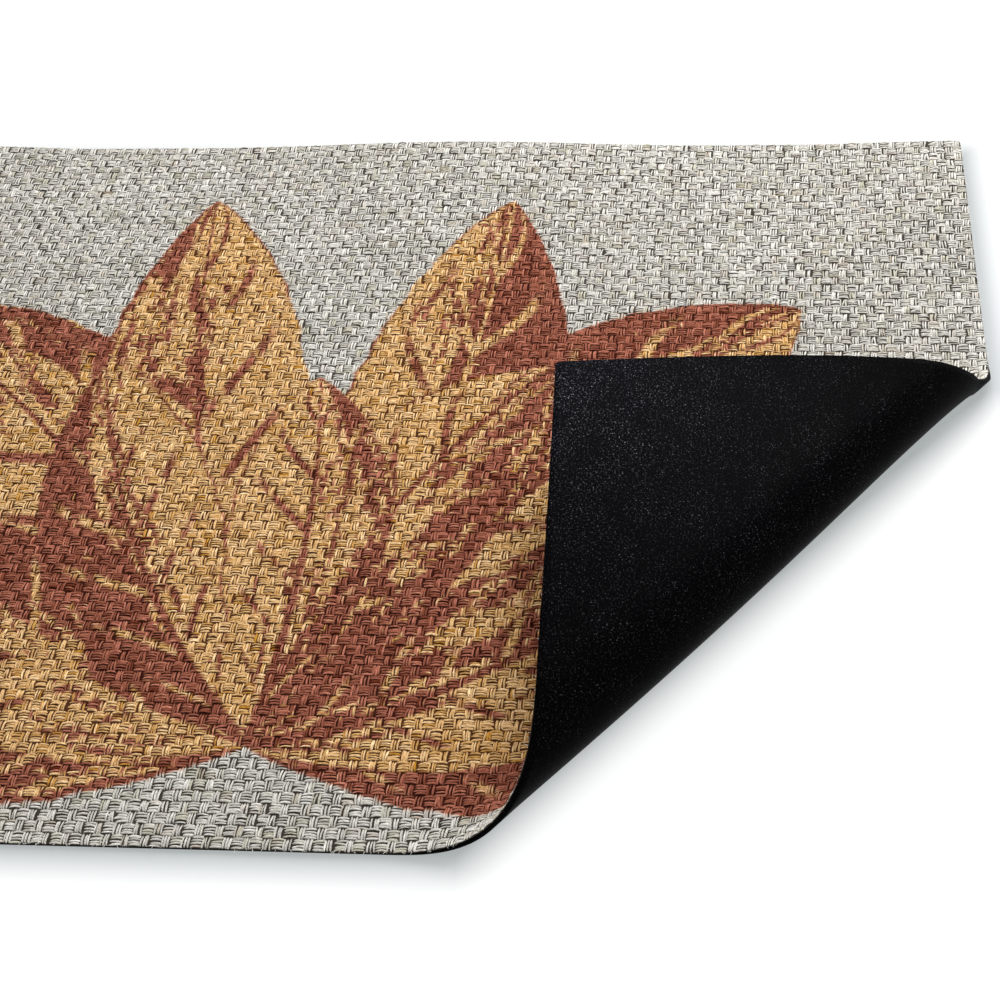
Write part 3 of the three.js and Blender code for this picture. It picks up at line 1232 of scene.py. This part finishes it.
@dataclass(frozen=True)
class Studio:
    """A wide floor of white acrylic lit from below in a white room, and light from the far side."""

    fine_half: tuple[float, float] = (0.6, 0.5)
    floor_half: float = 14.0
    floor_cells: int = 220
    floor_spread: int = 24
    floor_colour: str = "#707172"
    glow_colour: str = "#FEFFFF"
    shade_colour: str = "#A8ADAD"
    floor_glow: float = 0.93
    shade_width: float = 0.022
    shade_start: float = -0.0025
    shade_shift: tuple[float, float] = (0.0045, -0.0045)
    shade_ease: float = 1.5
    low_part: float = 0.009
    outline_steps: tuple[int, int] = (80, 60)
    sky_colour: str = "#FFFFFF"
    sky_strength: float = 0.53
    wall_strength: float = 1.0
    wall_top: tuple[float, float] = (0.12, 0.4)
    key_place: tuple[float, float, float] = (0.4, 0.75, 1.0)
    key_size: float = 0.8
    key_power: float = 20.0

    def build(self, mat: LyingMat) -> None:
        """Lay the floor and hang the lights.

        Args:
            mat: how the mat lies, for the soft shade round it.
        """
        self._floor(mat)

        room = bpy.data.worlds.new("white_room")
        n = Nodes(room)
        direction = n.add("ShaderNodeTexCoord").outputs["Generated"]
        up = n.add("ShaderNodeSeparateXYZ", {0: direction}).outputs["Z"]
        low, high = self.wall_top
        fall = {0: up, 1: low, 2: high, 3: self.wall_strength, 4: self.sky_strength}
        sky = {"Color": self.sky_colour, "Strength": n.add("ShaderNodeMapRange", fall)}
        n.add("ShaderNodeOutputWorld", {"Surface": n.add("ShaderNodeBackground", sky)})
        bpy.context.scene.world = room

        light = bpy.data.lights.new("window_light", "AREA")
        light.shape = "SQUARE"
        light.size = self.key_size
        light.energy = self.key_power
        key = bpy.data.objects.new("window_light", light)
        key.location = self.key_place
        key.rotation_euler = (-Vector(self.key_place)).to_track_quat("-Z", "Y").to_euler()
        bpy.context.scene.collection.objects.link(key)
        bpy.context.scene.view_settings.view_transform = "Standard"

    def _floor(self, mat: LyingMat) -> bpy.types.Object:
        """Make the floor, in fine cells round the mat and ever wider ones away from it.

        Args:
            mat: how the mat lies.

        Returns:
            The floor.
        """
        bm = bmesh.new()
        bmesh.ops.create_grid(bm, x_segments=self.floor_cells, y_segments=self.floor_cells, size=1.0)
        mesh = bpy.data.meshes.new("floor")
        bm.to_mesh(mesh)
        bm.free()
        places = np.empty(len(mesh.vertices) * 3)
        mesh.vertices.foreach_get("co", places)
        places = places.reshape(-1, 3)
        fine = np.array([*self.fine_half, 0.0])
        outer = np.sign(places) * np.abs(places) ** self.floor_spread
        places = places * fine + outer * (self.floor_half - fine)
        mesh.vertices.foreach_set("co", places.ravel())
        # Painted shadow: round the low part of the mat, shifted towards the near right, the floor's glow is
        # painted darker.
        share = (self._off_outline(places[:, :2], mat) - self.shade_start) / self.shade_width
        write_value(mesh, CLEAR_OF_SHADOW, 1.0 - (1.0 - np.clip(share, 0.0, 1.0)) ** self.shade_ease)

        material = bpy.data.materials.new("lit_white_acrylic")
        n = Nodes(material)
        clear = n.add("ShaderNodeAttribute", attribute_name=CLEAR_OF_SHADOW).outputs["Fac"]
        # The glow is painted from the shade colour close to the mat to the glow colour away from it, a
        # painted soft shadow.
        lit = {0: clear, 6: self.shade_colour, 7: self.glow_colour}
        acrylic = {
            "Base Color": self.floor_colour,
            "Roughness": 0.9,
            "Specular IOR Level": 0.1,
            "Emission Color": n.add("ShaderNodeMix", lit, data_type="RGBA"),
            "Emission Strength": self.floor_glow,
        }
        n.add("ShaderNodeOutputMaterial", {"Surface": n.add("ShaderNodeBsdfPrincipled", acrylic)})
        return new_object("floor", mesh, material)

    def _off_outline(self, places: np.ndarray, mat: LyingMat) -> np.ndarray:
        """Measure how far places on the floor are outside the part of the mat that lies low.

        Args:
            places: places on the floor, in metres.
            mat: how the mat lies.

        Returns:
            The distance in metres, less than 0 under the mat.
        """
        shape = mat.shape
        columns, rows = self.outline_steps
        x, y = np.meshgrid(np.linspace(-shape.length, 0, columns), np.linspace(0, shape.depth, rows))
        lying = mat.placed(x.ravel(), y.ravel(), 0.0 * x.ravel())
        low = lying[lying[:, 2] < self.low_part, :2] + np.array(self.shade_shift)
        ring = low[convex_hull_2d([Vector(place) for place in low])]
        nearest = np.full(len(places), np.inf)
        inside = np.full(len(places), True)
        for start, end in zip(ring, np.roll(ring, -1, axis=0)):
            edge = end - start
            to_place = places - start
            along = np.clip(to_place @ edge / (edge @ edge), 0.0, 1.0)
            nearest = np.minimum(nearest, np.linalg.norm(to_place - along[:, None] * edge, axis=1))
            inside &= edge[0] * to_place[:, 1] - edge[1] * to_place[:, 0] > 0.0
        return np.where(inside, -nearest, nearest)


@dataclass(frozen=True)
class Viewpoint:
    """The camera, from the near right corner of the mat, in millimetres and degrees."""

    place: tuple[float, float, float] = (-173.1, -194.2, 732.8)
    down: float = 51.9
    turn: float = 10.55
    roll: float = -8.35
    focal_share: float = 1.4322
    centre_x: float = 0.52
    centre_y: float = 0.25
    sensor: float = 36.0

    def build(self, mat: LyingMat) -> None:
        """Set the camera up.

        Args:
            mat: how the mat lies, for the place of its corner.
        """
        down, turn, roll = (math.radians(a) for a in (self.down, self.turn, self.roll))
        tilt = Matrix(
            (
                (1.0, 0.0, 0.0),
                (0.0, -math.sin(down), -math.cos(down)),
                (0.0, math.cos(down), -math.sin(down)),
            )
        )
        view = Matrix.Rotation(roll, 3, "Z") @ tilt @ Matrix.Rotation(-turn, 3, "Z")
        right, below, ahead = view
        axes = Matrix((right, -below, -ahead)).transposed().to_4x4()
        data = bpy.data.cameras.new("camera")
        data.sensor_width = self.sensor
        data.lens = self.sensor * self.focal_share
        data.shift_x = 0.5 - self.centre_x
        data.shift_y = self.centre_y - 0.5
        camera = bpy.data.objects.new("camera", data)
        camera.matrix_world = Matrix.Translation(Vector(self.place) * MM + Vector(mat.origin)) @ axes
        bpy.context.scene.collection.objects.link(camera)
        bpy.context.scene.camera = camera


def main() -> None:
    """Build the mat and the studio, and report each piece."""
    logging.basicConfig(level=logging.INFO, format="%(message)s")
    mat = LyingMat(MatShape())
    Viewpoint().build(mat)
    Studio().build(mat)
    for piece in (RubberBacking().build(mat), *WovenFace().build(mat)):
        piece.data.calc_loop_triangles()
        log.info("%s: %d triangles", piece.name, len(piece.data.loop_triangles))


if __name__ == "__main__":
    main()
